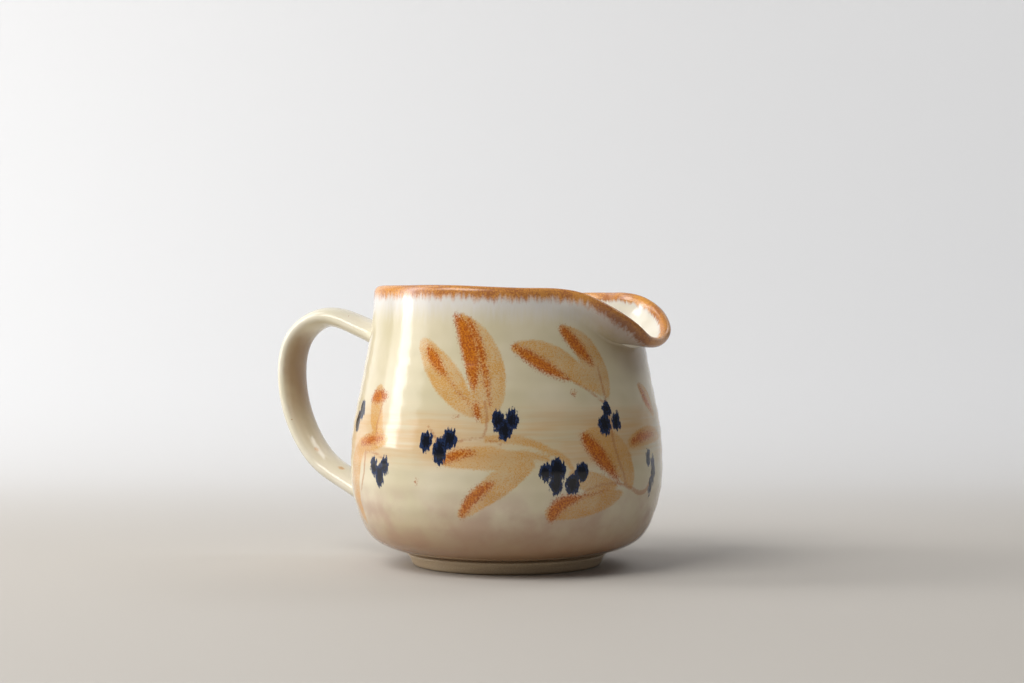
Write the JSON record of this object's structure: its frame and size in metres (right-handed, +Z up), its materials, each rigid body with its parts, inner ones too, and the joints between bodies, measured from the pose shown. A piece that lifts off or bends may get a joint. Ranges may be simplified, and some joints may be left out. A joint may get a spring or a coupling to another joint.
{
  "type": "ceramic pitcher",
  "caption": "Squat stoneware cream pitcher with a rounded belly, a wide pulled pouring spout, a strap handle and a turned foot ring.",
  "frame": {"origin": "centre of the plane the foot ring rests on, on the vessel's axis", "axes": "+Z up, +X along the pouring spout, -X along the handle, symmetric about the XZ plane"},
  "size_m": [0.1473, 0.1078, 0.096],
  "materials": {
    "painted_glaze": "glossy cream glaze, iron-brown at the rim, with brushed rust leaves and dark blue berries",
    "cream_glaze": "glossy cream glaze over stoneware",
    "bare_foot": "thinly glazed, satin stoneware with a bare resting edge"
  },
  "bodies": {
    "root": {"body": "painted_glaze", "spout": "painted_glaze", "foot_ring": "bare_foot", "handle": "cream_glaze", "handle_upper_slip": "cream_glaze", "handle_lower_slip": "cream_glaze"}
  },
  "joints": []
}
